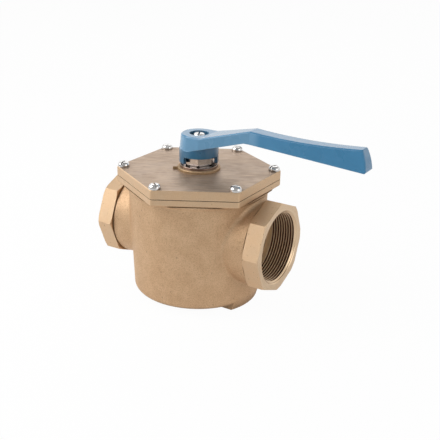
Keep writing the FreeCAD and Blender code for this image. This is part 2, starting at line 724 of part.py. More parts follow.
def make_lever():
    low = plan_wire(HUB_D_LOW, SHOULDER_WIDTH_LOW, BEND_WIDTH_LOW, END_WIDTH_LOW, HUB_STEP_Z)
    high = plan_wire(HUB_D_HIGH, SHOULDER_WIDTH_HIGH, BEND_WIDTH_HIGH, END_WIDTH_HIGH, PLAN_HIGH_Z)
    lever = Part.makeLoft([low, high], True, True).common(side_profile())
    lever = chamfer_where(lever, LEVER_EDGE_CHAMFER, is_lever_top_edge)
    lever = fillet_where(lever, END_EDGE_R, is_lever_end_edge)

    skirt = ring(SKIRT_D / 2, SKIRT_BORE_D / 2, LEG_BOTTOM_Z, HUB_STEP_Z)
    window = sector(SKIRT_D, WINDOW_START, WINDOW_START + WINDOW_SPAN, LEG_BOTTOM_Z - 1, SKIRT_FRONT_Z)
    web = rod(SKIRT_D / 2, WEB_BOTTOM_Z, HUB_STEP_Z)
    skirt = skirt.cut(around(window, WINDOW_COUNT, 0))
    lever = lever.fuse([skirt, web, skirt_core()]).removeSplitter()
    hole = STEM_SQUARE + 2 * SQUARE_CLEARANCE
    corner = Vector(-hole / 2, -hole / 2, LEG_BOTTOM_Z)
    square = Part.makeBox(hole, hole, HUB_TOP_Z - LEG_BOTTOM_Z, corner)
    recess = rod(RECESS_D / 2, RECESS_Z, HUB_TOP_Z + 1)
    return lever.cut([square, recess])


def make_lever_washer():
    hole_r = SCREW_D / 2 + SCREW_HOLE_CLEARANCE
    return ring(LEVER_WASHER_D / 2, hole_r, RECESS_Z, RECESS_Z + LEVER_WASHER_THICKNESS)


def make_spring_washer():
    z = RECESS_Z + LEVER_WASHER_THICKNESS
    washer = ring(SPRING_WASHER_D / 2, SCREW_D / 2 + SCREW_HOLE_CLEARANCE, z, z + SPRING_WASHER_THICKNESS)
    split = Part.makeBox(SPRING_WASHER_D, SPRING_WASHER_SPLIT, SPRING_WASHER_THICKNESS * 3)
    split.translate(Vector(0, -SPRING_WASHER_SPLIT / 2, z - SPRING_WASHER_THICKNESS))
    split.rotate(Vector(0, 0, z), AXIS_X, SPRING_WASHER_SPLIT_ANGLE)
    return washer.cut(split)


def make_lever_screw():
    seat_z = RECESS_Z + LEVER_WASHER_THICKNESS + SPRING_WASHER_THICKNESS
    head = (LEVER_SCREW_HEAD_D, LEVER_SCREW_HEAD_HEIGHT, LEVER_SCREW_HEAD_EDGE_R)
    return pan_screw(LEVER_SCREW_LENGTH, *head, LEVER_SCREW_SLOT_ANGLE, seat_z)


def make_parts():
    carrier = make_seat_carrier()
    seat = make_seat_ring()
    carrier_o_ring = make_carrier_o_ring()
    parts = {
        "body": make_body(),
        "cover": make_cover(),
        "cover_gasket": make_gasket(),
        "cover_screws": make_cover_screws(),
        "ball": make_ball(),
        "seat_carrier_outlet": carrier,
        "seat_carrier_inlet": inlet_copy(carrier),
        "seat_ring_outlet": seat,
        "seat_ring_inlet": inlet_copy(seat),
        "carrier_o_ring_outlet": carrier_o_ring,
        "carrier_o_ring_inlet": inlet_copy(carrier_o_ring),
        "stem": make_stem(),
        "stem_o_ring": make_stem_o_ring(),
        "stem_thrust_washer": make_thrust_washer(),
        "gland_follower": make_gland_follower(),
        "gland_nut": make_gland_nut(),
        "lever": make_lever(),
        "lever_washer": make_lever_washer(),
        "lever_spring_washer": make_spring_washer(),
        "lever_screw": make_lever_screw(),
    }
    for index in range(PACKING_COUNT):
        parts[f"packing_ring_{index + 1}"] = make_packing_ring(index)
    return parts


def main():
    os.makedirs("parts", exist_ok=True)
    for name, shape in make_parts().items():
        shape.exportStep(os.path.join("parts", name + ".step"))
        print(name, len(shape.Solids), "solids, valid", shape.isValid(), "volume", round(shape.Volume, 1))


main()
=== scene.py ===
"""Seacock valve: the finish of every piece, a plain studio and the camera, around the packed model."""

import json
import math

import bpy
from bpy.props import FloatProperty, FloatVectorProperty, PointerProperty
from mathutils import Matrix, Vector


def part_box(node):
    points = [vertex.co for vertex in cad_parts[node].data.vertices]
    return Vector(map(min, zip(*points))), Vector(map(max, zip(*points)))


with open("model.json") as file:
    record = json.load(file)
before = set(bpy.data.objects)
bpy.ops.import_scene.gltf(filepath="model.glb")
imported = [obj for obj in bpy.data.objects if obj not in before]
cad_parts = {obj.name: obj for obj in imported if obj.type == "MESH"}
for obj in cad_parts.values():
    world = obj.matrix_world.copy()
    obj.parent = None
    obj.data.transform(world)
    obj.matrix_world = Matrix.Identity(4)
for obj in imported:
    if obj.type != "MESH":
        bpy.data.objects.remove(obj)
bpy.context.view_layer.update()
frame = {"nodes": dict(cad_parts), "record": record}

bl_info = {
    "name": "Seacock Valve",
    "version": (1, 0, 0),
    "blender": (4, 5, 0),
    "location": "3D View > Sidebar > Valve",
    "description": "Finishes a brass two-port ball valve piece by piece and sets it on a studio floor",
    "category": "Object",
}

# ---- Places read from the frame, in metres ----
OUTLET = next(m for m in frame["record"]["mounts"] if m["name"] == "outlet_thread")
PORT_Z = OUTLET["pos_m"][2]
THREAD_R = OUTLET["dims"]["r_mm"] / 1000
PORT_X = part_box("body")[1].x
JOINT_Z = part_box("body")[1].z
COVER_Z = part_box("cover_gasket")[1].z
CARRIER_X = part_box("seat_carrier_outlet")[1].x
LEVER_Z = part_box("lever")[0].z
BALL_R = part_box("ball")[1].x
# The cover's flat top is what lies further out than the ball.
COVER_TOP_Z = max(v.co.z for v in frame["nodes"]["cover"].data.vertices if math.hypot(v.co.x, v.co.y) > BALL_R)

# ---- Tolerances for telling faces apart ----
NEAR = 0.0002
FLAT_NORMAL = 0.98
SIDE_NORMAL = 0.25

# ---- Where one finish ends and the next begins, in metres ----
SPANNER_LENGTH = 0.0142
FLANGE_THICKNESS = 0.0056
BOSS_HEIGHT = 0.0023
SKIRT_HEIGHT = 0.0113
SPANNER_X = PORT_X - SPANNER_LENGTH - NEAR
FLANGE_Z = JOINT_Z - FLANGE_THICKNESS
BOSS_Z = COVER_TOP_Z + BOSS_HEIGHT
SKIRT_Z = LEVER_Z + SKIRT_HEIGHT
SKIRT_R = 0.0162
# Along the lever, the painted sheen on its sides is full up to ARM_X and gone beyond GRIP_X.
ARM_X = 0.053
GRIP_X = 0.061
THREAD_DEPTH = 0.0016
MOUTH_DEPTH = 0.0025
CREST_REACH = 0.0009

# ---- Depths of surface marks, in metres ----
CAST_DEPTH = 0.00024
MILLED_DEPTH = 0.00008
BRUSHED_DEPTH = 0.00006
TURNED_DEPTH = 0.00003
PEEL_DEPTH = 0.00003
FINE_DEPTH = 0.00002
GRAIN_RELIEF = 0.06

# ---- Edge wear and grime ----
RAYS = 6
OUTER_REACH = 0.004

# ---- Patches of noise to the metre ----
BROKEN_DIRT_AND_SHADE = 260.0
NICKS = 420.0
DULL_PATCHES = 90.0
RING_CLOUDS = 160.0
PLATE_CLOUDS = 500.0
PAINT_SPECKS = 900.0

# ---- Lamps: place and size, in metres ----
KEY_PLACE, KEY_SIZE = (-0.46, -0.38, 0.55), (0.68, 0.6)
FILL_PLACE, FILL_SIZE = (1.35, -0.15, 0.50), (0.9, 0.9)
BACK_PLACE, BACK_SIZE = (-0.7, 1.1, 1.1), (1.2, 0.7)
LAMP_AIM = (0.0, 0.0, 0.06)
WHITE = (1.0, 1.0, 1.0)


def colour(name, description, default):
    return FloatVectorProperty(
        name=name, description=description, subtype="COLOR", size=3, min=0, max=1, default=default
    )


def share(name, description, default):
    return FloatProperty(name=name, description=description, subtype="FACTOR", min=0, max=1, default=default)


def length(name, description, default):
    return FloatProperty(name=name, description=description, unit="LENGTH", min=0, precision=5, default=default)


def turn(name, description, degrees):
    return FloatProperty(name=name, description=description, subtype="ANGLE", default=math.radians(degrees))


class ValveBrassSettings(bpy.types.PropertyGroup):
    """Colours and surface sizes of the brass."""

    cast_light: colour("Cast, light", "Blasted cast skin where it is clean", (0.70, 0.485, 0.30))
    cast_dark: colour("Cast, dark", "Blasted cast skin where it has dulled", (0.645, 0.435, 0.262))
    cast_low: colour("Cast, low", "Hollows between the grains of the cast skin", (0.36, 0.225, 0.12))
    milled: colour("Milled", "Milled sides and spanner flats", (0.68, 0.485, 0.31))
    plate_light: colour("Plate, light", "Brushed top of the cover", (0.42, 0.32, 0.252))
    plate_dark: colour("Plate, dark", "Stains on the cover's top", (0.355, 0.26, 0.195))
    turned: colour("Turned", "Turned port faces, rings and threads", (0.77, 0.58, 0.39))
    # Painted shade: the dark colour laid in the roots of the pipe thread.
    thread: colour("Thread", "Roots of the pipe thread", (0.18, 0.062, 0.03))
    ring: colour("Gland ring", "Polished ring round the gland, gone brown", (0.24, 0.175, 0.15))
    boss: colour("Boss", "Cast boss and ear on the cover", (0.50, 0.37, 0.22))
    # Painted light: paler than any brass, standing in for the lamp light that falls into the ports.
    bored: colour("Bored", "Seat carriers and other bored faces", (0.97, 0.86, 0.66))
    # Painted shade and soiling: the colour laid in corners and along joints where ambient occlusion is low; also the
    # colour of pits and nicks.
    grime_and_shade: colour("Grime And Shade", "Dirt in corners and along joints", (0.17, 0.10, 0.05))
    grain_size: length("Grain", "Width of one grain of the cast skin", 0.0008)
    mottle_size: length("Mottle", "Width of a patch of the cast skin", 0.012)
    cutter_pitch: length("Cutter pitch", "Distance between turning marks", 0.0004)
    brush_width: length("Brush width", "Width of one brushed streak", 0.0007)
    brush_length: length("Brush length", "Length of one brushed streak", 0.012)
    brush_angle: turn("Brush direction", "Direction of the streaks, from the pipe's axis", 30)
    edge_radius: length("Edge radius", "Roundness of the edges of brass pieces", 0.0005)


class ValvePaintSettings(bpy.types.PropertyGroup):
    """The lever's enamel."""

    enamel: colour("Enamel", "Blue of the lever", (0.036, 0.215, 0.41))
    enamel_deep: colour("Enamel, deep", "Blue where the enamel lies thick", (0.031, 0.20, 0.385))
    # Painted sheen: paler blue on the sides of hub and arm, standing in for the broad reflection of the coat there.
    arm: colour("Arm", "Blue on the sides of hub and arm, rubbed paler", (0.125, 0.315, 0.51))
    # Painted shade: the skirt and the stop legs take a darker copy of the enamel, for the shade under the arm.
    skirt: colour("Skirt", "Blue of the skirt and the stop legs, where the enamel has pooled", (0.006, 0.135, 0.27))
    # Painted highlight: a pale line along the lever's edges, standing in for the light that the chamfers catch.
    edge: colour("Edges", "Enamel worn thin along the edges", (0.26, 0.46, 0.66))
    # Painted shade: the blue laid in corners, below the arm and close to the cover.
    corner_shade: colour("Corners", "Enamel in corners and close to the cover", (0.004, 0.045, 0.10))
    edge_radius: length("Edge radius", "Roundness of the painted edges", 0.0007)
    flow_size: length("Flow", "Width of one thick or thin patch of the enamel", 0.02)
    peel_size: length("Orange peel", "Width of one wave of the enamel", 0.0022)


class ValvePlatingSettings(bpy.types.PropertyGroup):
    """Bright plated pieces, steel and seals."""

    plate: colour("Plating", "Bright plate on the screws", (0.80, 0.78, 0.76))
    nut: colour("Nut", "Duller plate on the gland nut", (0.50, 0.475, 0.45))
    steel: colour("Steel", "Stem and washers", (0.62, 0.61, 0.60))
    # Painted shade and soiling: the dark colour in the screw slots and below the heads.
    dirt_and_shade: colour("Dirt", "Dirt in the slots and below the heads", (0.05, 0.04, 0.035))
    seal: colour("Rubber", "O-rings", (0.02, 0.02, 0.02))
    seal_dark: colour("Rubber, dark", "Dark grain of the O-rings", (0.01, 0.01, 0.01))
    gasket: colour("Gasket", "Sheet gasket under the cover", (0.06, 0.045, 0.035))
    gasket_dark: colour("Gasket, dark", "Dark fibres of the gasket", (0.02, 0.015, 0.012))
    seat: colour("Seat plastic", "Seat and packing rings", (0.82, 0.81, 0.78))
    seat_dark: colour("Seat plastic, dark", "Duller patches of the seat and packing rings", (0.72, 0.70, 0.66))


class ValveStageSettings(bpy.types.PropertyGroup):
    """Floor, light and camera."""

    floor_radius: length("Floor radius", "Radius of the round floor", 4.0)
    floor_colour: colour("Floor", "Colour of the floor", (0.92, 0.92, 0.92))
    floor_share: share("Plain floor", "Share of the floor that shows plain white", 0.965)
    glossy_floor: share("Floor in metal", "How plain and white polished metal sees the floor", 0.4)
    front_grey: colour("Room in front", "What polished metal sees of the room in front", (0.42, 0.42, 0.42))
    overhead_grey: colour("Room overhead", "What is seen of the room overhead", (0.35, 0.35, 0.35))
    daylight: FloatProperty(name="Room light", description="Strength of the even room light", default=0.42)
    key_power: FloatProperty(name="Key", description="Power of the key lamp in watts", default=4.15)
    fill_power: FloatProperty(name="Fill", description="Power of the side lamp in watts", default=2.4)
    back_power: FloatProperty(name="Back", description="Power of the back lamp in watts", default=4.0)
    aim: FloatVectorProperty(
        name="Aim", description="Point that the camera looks at", subtype="TRANSLATION",
        default=(0.02274, -0.0019, 0.06848),
    )
    distance: length("Distance", "From the camera to the aim", 0.66)
    azimuth: turn("Azimuth", "Camera's direction round the valve", 31.192)
    elevation: turn("Elevation", "Camera's height above level", 21.588)
    roll: turn("Roll", "Camera's roll", 1.267)
    lens: FloatProperty(name="Lens", description="Focal length in millimetres", default=65.007)


# ---- Node helpers ----
class Nodes:
    """Adds nodes to one tree and links them."""

    def __init__(self, tree):
        self.tree = tree
        tree.nodes.clear()

    def add(self, kind, inputs=None, **settings):
        node = self.tree.nodes.new("ShaderNode" + kind)
        for name, value in settings.items():
            setattr(node, name, value)
        for key, value in (inputs or {}).items():
            if isinstance(value, bpy.types.NodeSocket):
                self.tree.links.new(value, node.inputs[key])
            else:
                node.inputs[key].default_value = value
        return node

    def math(self, operation, *values, clamp=False):
        node = self.add("Math", dict(enumerate(values)), operation=operation, use_clamp=clamp)
        return node.outputs[0]

    def vector(self, operation, *values, out=0, **named):
        inputs = dict(enumerate(values))
        inputs.update(named)
        return self.add("VectorMath", inputs, operation=operation).outputs[out]

    def span(self, value, low, high, to_low=0.0, to_high=1.0, smooth=True):
        """value from low..high to to_low..to_high, held at both ends."""
        kind = "SMOOTHSTEP" if smooth else "LINEAR"
        inputs = {"Value": value, "From Min": low, "From Max": high, "To Min": to_low, "To Max": to_high}
        return self.add("MapRange", inputs, interpolation_type=kind).outputs["Result"]

    def mix(self, factor, a, b, blend="MIX"):
        node = self.add("Mix", data_type="RGBA", blend_type=blend)
        for socket, value in zip((node.inputs[0], node.inputs[6], node.inputs[7]), (factor, a, b)):
            if isinstance(value, bpy.types.NodeSocket):
                self.tree.links.new(value, socket)
            elif isinstance(value, float):
                socket.default_value = value
            else:
                socket.default_value = (*value, 1.0)
        return node.outputs[2]

    def noise(self, vector, scale, detail=3.0, roughness=0.55):
        inputs = {"Vector": vector, "Scale": scale, "Detail": detail, "Roughness": roughness}
        return self.add("TexNoise", inputs).outputs["Fac"]

    def place(self):
        """The piece's own coordinates, in metres."""
        return self.add("TexCoord").outputs["Object"]

    def group(self, build, **inputs):
        named = {key.replace("_", " "): value for key, value in inputs.items()}
        return self.add("Group", named, node_tree=build()).outputs


GROUPS = {}


def group_tree(name, inputs, outputs):
    """A new shader node group with its sockets, or None if it is there already."""
    if name in GROUPS:
        return GROUPS[name], None
    tree = bpy.data.node_groups.new(name, "ShaderNodeTree")
    for label, kind, value in inputs:
        socket = tree.interface.new_socket(label, in_out="INPUT", socket_type="NodeSocket" + kind)
        if value is not None:
            socket.default_value = value
    for label, kind in outputs:
        tree.interface.new_socket(label, in_out="OUTPUT", socket_type="NodeSocket" + kind)
    GROUPS[name] = tree
    return tree, Nodes(tree)


def put_out(nodes, **values):
    end = nodes.tree.nodes.new("NodeGroupOutput")
    for key, value in values.items():
        nodes.tree.links.new(value, end.inputs[key])


def put_in(nodes):
    return nodes.tree.nodes.new("NodeGroupInput").outputs


# ---- Effects shared by the materials ----
def cast_skin():
    """Grain, patches and pits of a blasted sand casting."""
    inputs = [("Vector", "Vector", None), ("Grain Size", "Float", 0.0008), ("Patch Size", "Float", 0.012)]
    outputs = [("Height", "Float"), ("Grain", "Float"), ("Patch", "Float"), ("Pits", "Float")]
    tree, nodes = group_tree("Cast Skin", inputs, outputs)
    if nodes is None:
        return tree
    given = put_in(nodes)
    per_grain = nodes.math("DIVIDE", 1.0, given["Grain Size"])
    per_patch = nodes.math("DIVIDE", 1.0, given["Patch Size"])
    grain_at = nodes.vector("SCALE", given["Vector"], Scale=per_grain)
    patch_at = nodes.vector("SCALE", given["Vector"], Scale=per_patch)
    fine = nodes.noise(grain_at, 1.0, 4.0, 0.7)
    sand = nodes.add("TexVoronoi", {"Vector": grain_at, "Scale": 0.8}, feature="SMOOTH_F1").outputs["Distance"]
    pocks = nodes.add("TexVoronoi", {"Vector": grain_at, "Scale": 0.16}).outputs["Distance"]
    pits = nodes.span(pocks, 0.22, 0.08)
    rare = nodes.span(nodes.noise(grain_at, 0.05, 1.0), 0.56, 0.62)
    pits = nodes.math("MULTIPLY", pits, rare)
    raised = nodes.math("SUBTRACT", fine, nodes.math("MULTIPLY", sand, 0.35))
    height = nodes.math("SUBTRACT", raised, nodes.math("MULTIPLY", pits, 0.8))
    patch = nodes.noise(patch_at, 1.0, 4.0, 0.6)
    put_out(nodes, Height=height, Grain=nodes.span(fine, 0.3, 0.7), Patch=nodes.span(patch, 0.35, 0.66), Pits=pits)
    return tree


def turned_marks():
    """Fine rings that a lathe leaves about the Z axis of the given vector."""
    inputs = [("Vector", "Vector", None), ("Pitch", "Float", 0.0004)]
    tree, nodes = group_tree("Turned Marks", inputs, [("Height", "Float"), ("Streak", "Float")])
    if nodes is None:
        return tree
    given = put_in(nodes)
    parts = nodes.add("SeparateXYZ", {0: given["Vector"]}).outputs
    radius = nodes.vector("LENGTH", nodes.add("CombineXYZ", {0: parts[0], 1: parts[1]}).outputs[0], out="Value")
    turns = nodes.math("DIVIDE", radius, given["Pitch"])
    along = nodes.math("DIVIDE", parts[2], given["Pitch"])
    round_it = nodes.math("MULTIPLY", nodes.math("ARCTAN2", parts[1], parts[0]), 0.6)
    at = nodes.add("CombineXYZ", {0: turns, 1: along, 2: round_it}).outputs[0]
    streak = nodes.noise(at, 0.8, 2.0, 0.6)
    ripple = nodes.math("SINE", nodes.math("MULTIPLY", nodes.math("ADD", turns, along), 2 * math.pi))
    height = nodes.math("ADD", streak, nodes.math("MULTIPLY", ripple, 0.15))
    put_out(nodes, Height=height, Streak=nodes.span(streak, 0.3, 0.7))
    return tree


def brushed_streaks():
    """Short straight streaks in one direction of the XY plane, and dashes where the belt bit deeper."""
    inputs = [
        ("Vector", "Vector", None),
        ("Angle", "Float", 0.0),
        ("Width", "Float", 0.0007),
        ("Length", "Float", 0.012),
    ]
    outputs = [("Height", "Float"), ("Streak", "Float"), ("Dash", "Float")]
    tree, nodes = group_tree("Brushed Streaks", inputs, outputs)
    if nodes is None:
        return tree
    given = put_in(nodes)
    back = nodes.math("MULTIPLY", given["Angle"], -1.0)
    turned = nodes.add("VectorRotate", {"Vector": given["Vector"], "Angle": back}, rotation_type="Z_AXIS").outputs[0]
    across = nodes.math("DIVIDE", 1.0, given["Width"])
    along = nodes.math("DIVIDE", 1.0, given["Length"])
    stretch = nodes.add("CombineXYZ", {0: along, 1: across, 2: across}).outputs[0]
    at = nodes.vector("MULTIPLY", turned, stretch)
    streak = nodes.noise(at, 1.0, 3.0, 0.6)
    coarse = nodes.noise(nodes.vector("SCALE", at, Scale=0.37), 1.0, 2.0, 0.5)
    dash = nodes.span(coarse, 0.60, 0.70)
    height = nodes.math("SUBTRACT", streak, nodes.math("MULTIPLY", dash, 0.5))
    put_out(nodes, Height=height, Streak=nodes.span(streak, 0.3, 0.7), Dash=dash)
    return tree


def edge_wear_and_highlight():
    """Mask of the outer edges, and the normal with its edges rounded."""
    inputs = [("Radius", "Float", 0.0005), ("Amount", "Float", 1.0)]
    tree, nodes = group_tree("Edge Wear And Highlight", inputs, [("Mask", "Float"), ("Normal", "Vector")])
    if nodes is None:
        return tree
    given = put_in(nodes)
    rounded = nodes.add("Bevel", {"Radius": given["Radius"]}, samples=RAYS).outputs["Normal"]
    flat = nodes.add("NewGeometry").outputs["Normal"]
    agree = nodes.vector("DOT_PRODUCT", rounded, flat, out="Value")
    edge = nodes.span(agree, 0.995, 0.86)
    open_air = nodes.add("AmbientOcclusion", {"Distance": OUTER_REACH}, samples=RAYS, only_local=True).outputs["AO"]
    outer = nodes.span(open_air, 0.72, 0.9)
    mask = nodes.math("MULTIPLY", nodes.math("MULTIPLY", edge, outer), given["Amount"], clamp=True)
    put_out(nodes, Mask=mask, Normal=rounded)
    return tree


def grime_and_shade():
    """Mask of painted shade and soiling in corners and along joints: darker where ambient occlusion is low, broken
    up by noise.
    """
    inputs = [("Vector", "Vector", None), ("Reach", "Float", 0.006), ("Amount", "Float", 1.0)]
    tree, nodes = group_tree("Grime And Shade", inputs, [("Mask", "Float")])
    if nodes is None:
        return tree
    given = put_in(nodes)
    closed = nodes.add("AmbientOcclusion", {"Distance": given["Reach"]}, samples=RAYS).outputs["AO"]
    # Painted shade: the mask rises where ambient occlusion is low, in corners and along joints.
    shade = nodes.span(closed, 0.85, 0.25, smooth=False)
    broken = nodes.span(nodes.noise(given["Vector"], BROKEN_DIRT_AND_SHADE, 3.0), 0.3, 0.7, 0.65, 1.0)
    mask = nodes.math("MULTIPLY", nodes.math("MULTIPLY", shade, broken), given["Amount"], clamp=True)
    put_out(nodes, Mask=mask)
    return tree


# ---- Materials ----
def new_material(name):
    material = bpy.data.materials.new(name)
    material.use_nodes = True
    return material, Nodes(material.node_tree)


def principled(nodes, base, roughness, normal, **constants):
    """The material's shader. constants are plain values set on its own sockets."""
    named = {key.replace("_", " "): value for key, value in constants.items()}
    inputs = {"Base Color": base, "Roughness": roughness, "Normal": normal, **named}
    shader = nodes.add("BsdfPrincipled", inputs)
    nodes.add("OutputMaterial", {"Surface": shader.outputs[0]})
    return shader


def bump(nodes, height, depth, normal=None):
    inputs = {"Height": height, "Distance": depth}
    if normal is not None:
        inputs["Normal"] = normal
    return nodes.add("Bump", inputs).outputs[0]


def port_vector(nodes):
    """Coordinates turned so that the port axis is Z."""
    parts = nodes.add("SeparateXYZ", {0: nodes.place()}).outputs
    height = nodes.math("SUBTRACT", parts[2], PORT_Z)
    return nodes.add("CombineXYZ", {0: parts[1], 1: height, 2: parts[0]}).outputs[0]


def cast_brass(brass, name="cast_brass", light=None):
    """Blasted sand-cast skin: grain, patches, a few pits, bright edges, and soiling with painted shade in the
    corners.
    """
    material, nodes = new_material(name)
    clean = light or brass.cast_light
    at = nodes.place()
    skin = nodes.group(cast_skin, Vector=at, Grain_Size=brass.grain_size, Patch_Size=brass.mottle_size)
    worn = nodes.group(edge_wear_and_highlight, Radius=brass.edge_radius, Amount=0.8)
    dirt_and_shade = nodes.group(grime_and_shade, Vector=at, Reach=0.010, Amount=0.8)
    patch = nodes.mix(skin["Patch"], brass.cast_dark, clean)
    speckle = nodes.mix(nodes.span(skin["Grain"], 0.0, 0.7, 0.36, 0.0), patch, brass.cast_low)
    pitted = nodes.mix(nodes.math("MULTIPLY", skin["Pits"], 0.35), speckle, brass.grime_and_shade)
    # Painted shade and soiling in the corners and along joints.
    soiled_and_shaded = nodes.mix(dirt_and_shade["Mask"], pitted, brass.grime_and_shade)
    base = nodes.mix(worn["Mask"], soiled_and_shaded, brass.turned)
    rough = nodes.span(skin["Grain"], 0.0, 1.0, 0.66, 0.5)
    normal = bump(nodes, skin["Height"], CAST_DEPTH, worn["Normal"])
    principled(nodes, base, rough, normal, Metallic=0.85)
    return material


def milled_brass(brass):
    """Spanner flats and the sides of the hexagon: cut clean, with a fine sparkle and a few dark nicks."""
    material, nodes = new_material("milled_brass")
    at = nodes.place()
    skin = nodes.group(cast_skin, Vector=at, Grain_Size=brass.grain_size * 0.7, Patch_Size=brass.mottle_size)
    worn = nodes.group(edge_wear_and_highlight, Radius=brass.edge_radius, Amount=1.0)
    dirt_and_shade = nodes.group(grime_and_shade, Vector=at, Reach=0.005, Amount=0.7)
    tone = nodes.mix(skin["Patch"], brass.cast_light, brass.milled)
    speckle = nodes.mix(nodes.span(skin["Grain"], 0.0, 1.0, 0.0, 0.3), tone, brass.turned)
    nicks = nodes.span(nodes.noise(at, NICKS, 2.0, 0.5), 0.66, 0.74)
    nicked = nodes.mix(nodes.math("MULTIPLY", nicks, 0.45), speckle, brass.grime_and_shade)
    # Painted shade and soiling in the corners and along joints.
    soiled_and_shaded = nodes.mix(dirt_and_shade["Mask"], nicked, brass.grime_and_shade)
    base = nodes.mix(worn["Mask"], soiled_and_shaded, brass.turned)
    rough = nodes.span(skin["Grain"], 0.0, 1.0, 0.58, 0.44)
    normal = bump(nodes, skin["Height"], MILLED_DEPTH, worn["Normal"])
    principled(nodes, base, rough, normal, Metallic=0.9)
    return material


def turned_brass(brass, name="turned_brass", about_port=True):
    """Lathe-turned brass, with its rings about the port's axis or the stem's."""
    material, nodes = new_material(name)
    at = nodes.place()
    centred = port_vector(nodes) if about_port else at
    marks = nodes.group(turned_marks, Vector=centred, Pitch=brass.cutter_pitch)
    worn = nodes.group(edge_wear_and_highlight, Radius=brass.edge_radius * 0.6, Amount=0.6)
    dirt_and_shade = nodes.group(grime_and_shade, Vector=at, Reach=0.004, Amount=0.7)
    tone = nodes.mix(nodes.span(marks["Streak"], 0.0, 1.0, 0.0, 0.6), brass.turned, brass.milled)
    dull = nodes.span(nodes.noise(at, DULL_PATCHES, 3.0), 0.4, 0.7, 0.0, 0.5)
    dulled = nodes.mix(dull, tone, brass.cast_light)
    # Painted shade and soiling in the corners and along joints.
    base = nodes.mix(dirt_and_shade["Mask"], dulled, brass.grime_and_shade)
    rough = nodes.span(marks["Streak"], 0.0, 1.0, 0.24, 0.4)
    normal = bump(nodes, marks["Height"], TURNED_DEPTH, worn["Normal"])
    principled(nodes, base, rough, normal, Metallic=1.0)
    return material


def thread_brass(brass):
    """Cut thread: bright along the crests, with painted shade darkening it down to the roots."""
    material, nodes = new_material("thread_brass")
    at = nodes.place()
    centred = port_vector(nodes)
    marks = nodes.group(turned_marks, Vector=centred, Pitch=brass.cutter_pitch * 0.5)
    worn = nodes.group(edge_wear_and_highlight, Radius=brass.edge_radius * 0.2, Amount=1.0)
    parts = nodes.add("SeparateXYZ", {0: centred}).outputs
    radius = nodes.vector("LENGTH", nodes.add("CombineXYZ", {0: parts[0], 1: parts[1]}).outputs[0], out="Value")
    # Painted shade: the thread turns dark towards its roots, by distance from the port's axis.
    root = nodes.span(radius, THREAD_R + NEAR, THREAD_R + CREST_REACH)
    bright = nodes.mix(nodes.span(marks["Streak"], 0.0, 1.0, 0.0, 0.3), brass.turned, brass.milled)
    base = nodes.mix(root, bright, brass.thread)
    rough = nodes.span(marks["Streak"], 0.0, 1.0, 0.4, 0.55)
    normal = bump(nodes, marks["Height"], FINE_DEPTH, worn["Normal"])
    principled(nodes, base, rough, normal, Metallic=0.8)
    return material


def lit_bored_brass(brass):
    """Satin bored and faced brass inside the ports, painted pale to stand in for the light that falls into them."""
    material, nodes = new_material("lit_bored_brass")
    at = nodes.place()
    marks = nodes.group(turned_marks, Vector=port_vector(nodes), Pitch=brass.cutter_pitch)
    worn = nodes.group(edge_wear_and_highlight, Radius=brass.edge_radius * 0.6, Amount=0.8)
    dirt_and_shade = nodes.group(grime_and_shade, Vector=at, Reach=0.0015, Amount=0.8)
    # Painted light: the pale bored colour; painted shade and soiling darken the corners.
    tone = nodes.mix(nodes.span(marks["Streak"], 0.0, 1.0, 0.0, 0.25), brass.bored, brass.milled)
    base = nodes.mix(dirt_and_shade["Mask"], tone, brass.grime_and_shade)
    rough = nodes.span(marks["Streak"], 0.0, 1.0, 0.45, 0.6)
    normal = bump(nodes, marks["Height"], TURNED_DEPTH, worn["Normal"])
    principled(nodes, base, rough, normal, Metallic=0.3)
    return material


def ring_brass(brass):
    """Polished ring round the gland, browned by age."""
    material, nodes = new_material("ring_brass")
    at = nodes.place()
    marks = nodes.group(turned_marks, Vector=at, Pitch=brass.cutter_pitch)
    worn = nodes.group(edge_wear_and_highlight, Radius=brass.edge_radius, Amount=0.5)
    cloud = nodes.span(nodes.noise(at, RING_CLOUDS, 3.0), 0.35, 0.65)
    tone = nodes.mix(nodes.math("MULTIPLY", cloud, 0.5), brass.ring, brass.plate_light)
    base = nodes.mix(nodes.math("MULTIPLY", worn["Mask"], 0.4), tone, brass.turned)
    rough = nodes.span(marks["Streak"], 0.0, 1.0, 0.12, 0.24)
    normal = bump(nodes, marks["Height"], FINE_DEPTH, worn["Normal"])
    principled(nodes, base, rough, normal, Metallic=1.0)
    return material


def brushed_plate(brass):
    """Top of the cover: belt-ground, then dulled and stained brown."""
    material, nodes = new_material("brushed_plate")
    at = nodes.place()
    belt = nodes.group(
        brushed_streaks, Vector=at, Angle=brass.brush_angle, Width=brass.brush_width, Length=brass.brush_length
    )
    skin = nodes.group(cast_skin, Vector=at, Grain_Size=brass.grain_size * 1.4, Patch_Size=brass.mottle_size * 1.6)
    worn = nodes.group(edge_wear_and_highlight, Radius=brass.edge_radius, Amount=0.7)
    dirt_and_shade = nodes.group(grime_and_shade, Vector=at, Reach=0.007, Amount=0.8)
    stain = nodes.mix(nodes.span(skin["Patch"], 0.1, 0.9), brass.plate_dark, brass.plate_light)
    streaked = nodes.mix(nodes.span(belt["Streak"], 0.0, 1.0, 0.0, 0.4), stain, brass.milled)
    dashed = nodes.mix(nodes.math("MULTIPLY", belt["Dash"], 0.5), streaked, brass.plate_dark)
    # Painted shade and soiling in the corners and along joints.
    soiled_and_shaded = nodes.mix(dirt_and_shade["Mask"], dashed, brass.grime_and_shade)
    base = nodes.mix(worn["Mask"], soiled_and_shaded, brass.turned)
    rough = nodes.span(belt["Streak"], 0.0, 1.0, 0.56, 0.42)
    normal = bump(nodes, belt["Height"], BRUSHED_DEPTH, worn["Normal"])
    principled(nodes, base, rough, normal, Metallic=0.65)
    return material


